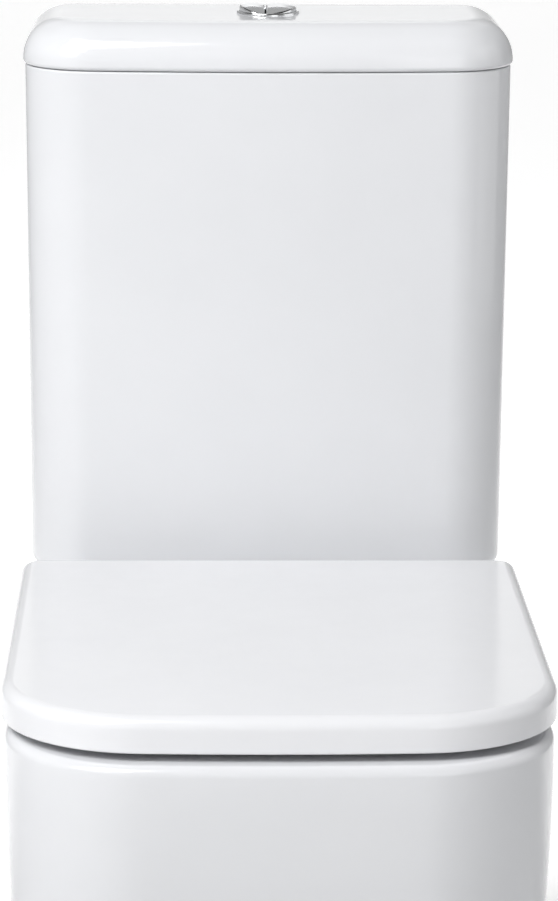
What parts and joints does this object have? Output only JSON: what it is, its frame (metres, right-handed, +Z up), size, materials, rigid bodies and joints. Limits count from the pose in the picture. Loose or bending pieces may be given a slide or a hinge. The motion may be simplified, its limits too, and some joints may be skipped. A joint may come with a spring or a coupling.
{
  "type": "close coupled toilet",
  "caption": "White ceramic close coupled toilet with a skirted back-to-wall pan, slim seat and lid, and a top dual flush push button.",
  "frame": {"origin": "on the floor, on the centre line, halfway between the front of the pan and the wall plane behind it", "axes": "+X to the right seen from the front, +Y towards the wall, +Z up"},
  "size_m": [0.371, 0.65, 0.835],
  "materials": {
    "vitreous_china": "clear gloss glaze on white vitreous china",
    "seat_plastic": "moulded gloss white",
    "chrome_plate": "bright chrome plate",
    "valve_plastic": "moulded off-white",
    "moving_plastic": "moulded blue",
    "nylon": "moulded natural nylon",
    "seal_rubber": "moulded black rubber",
    "buffer_rubber": "soft translucent white",
    "bolt_steel": "stainless steel",
    "bolt_brass": "turned brass",
    "white_cap": "moulded gloss white"
  },
  "bodies": {
    "pan_and_cistern": {"bolt_washer_left": "seal_rubber", "bolt_washer_right": "seal_rubber", "cistern_body": "vitreous_china", "coupling_bolt_left": "bolt_brass", "coupling_bolt_right": "bolt_brass", "coupling_gasket": "seal_rubber", "coupling_nut_left": "bolt_brass", "coupling_nut_right": "bolt_brass", "fill_valve_backnut": "valve_plastic", "fill_valve_body": "valve_plastic", "fill_valve_cap": "moving_plastic", "fill_valve_washer": "seal_rubber", "floor_bracket_left": "nylon", "floor_bracket_right": "nylon", "flush_valve_backnut": "valve_plastic", "flush_valve_base": "valve_plastic", "flush_valve_cage": "valve_plastic", "flush_valve_head": "valve_plastic", "flush_valve_washer": "seal_rubber", "hinge_bolt_left": "bolt_steel", "hinge_bolt_right": "bolt_steel", "hinge_nut_left": "nylon", "hinge_nut_right": "nylon", "hinge_pin_left": "bolt_steel", "hinge_pin_right": "bolt_steel", "hinge_post_left": "chrome_plate", "hinge_post_right": "chrome_plate", "hinge_washer_left": "seal_rubber", "hinge_washer_right": "seal_rubber", "pan": "vitreous_china", "pan_bowl": "vitreous_china", "pan_flush_duct": "vitreous_china", "pan_sump": "vitreous_china", "pan_trap": "vitreous_china", "side_cap_left": "white_cap", "side_cap_right": "white_cap", "side_screw_left": "bolt_steel", "side_screw_right": "bolt_steel", "under_washer_left": "seal_rubber", "under_washer_right": "seal_rubber"},
    "lid": {"seat_lid": "seat_plastic", "lid_damper": "valve_plastic", "lid_bumpers": "buffer_rubber"},
    "seat": {"seat_ring": "seat_plastic", "seat_damper": "valve_plastic", "seat_bumpers": "buffer_rubber"},
    "cistern_cover": {"cistern_lid": "vitreous_china", "button_bezel": "chrome_plate", "button_nut": "valve_plastic"},
    "full_button": {"full_flush_button": "chrome_plate", "full_push_rod": "nylon"},
    "half_button": {"half_flush_button": "chrome_plate", "half_push_rod": "moving_plastic"},
    "full_plunger": {"full_actuator": "nylon"},
    "half_plunger": {"half_actuator": "moving_plastic"},
    "valve_core": {"flush_valve_core": "moving_plastic", "flush_seal": "seal_rubber"},
    "float": {"float_cup": "nylon", "float_rod": "nylon"}
  },
  "joints": [
    {"name": "lid_hinge", "type": "hinge", "parent": "pan_and_cistern", "child": "lid", "pos_m": [0, 0.103, 0.424], "axis": [-1, 0, 0], "range_deg": [0, 94]},
    {"name": "seat_hinge", "type": "hinge", "parent": "pan_and_cistern", "child": "seat", "pos_m": [0, 0.103, 0.424], "axis": [-1, 0, 0], "range_deg": [0, 92]},
    {"name": "cover_lift", "type": "slide", "parent": "pan_and_cistern", "child": "cistern_cover", "axis": [0, 0, 1], "range_m": [0, 0.12]},
    {"name": "full_flush_press", "type": "slide", "parent": "cistern_cover", "child": "full_button", "axis": [0, 0, -1], "range_m": [0, 0.006], "stiffness_N_per_m": 500, "springref_m": -0.006},
    {"name": "half_flush_press", "type": "slide", "parent": "cistern_cover", "child": "half_button", "axis": [0, 0, -1], "range_m": [0, 0.006], "stiffness_N_per_m": 500, "springref_m": -0.006},
    {"name": "full_plunger_slide", "type": "slide", "parent": "pan_and_cistern", "child": "full_plunger", "axis": [0, 0, -1], "range_m": [0, 0.006]},
    {"name": "half_plunger_slide", "type": "slide", "parent": "pan_and_cistern", "child": "half_plunger", "axis": [0, 0, -1], "range_m": [0, 0.006]},
    {"name": "valve_core_lift", "type": "slide", "parent": "pan_and_cistern", "child": "valve_core", "axis": [0, 0, 1], "range_m": [0, 0.018]},
    {"name": "float_rise", "type": "slide", "parent": "pan_and_cistern", "child": "float", "axis": [0, 0, 1], "range_m": [0, 0.06]}
  ],
  "couplings": [
    {"joint": "seat_hinge", "follows": "lid_hinge", "ratio": 0.97},
    {"joint": "full_plunger_slide", "follows": "full_flush_press", "ratio": 1},
    {"joint": "valve_core_lift", "follows": "full_flush_press", "ratio": 3},
    {"joint": "half_plunger_slide", "follows": "half_flush_press", "ratio": 1}
  ]
}
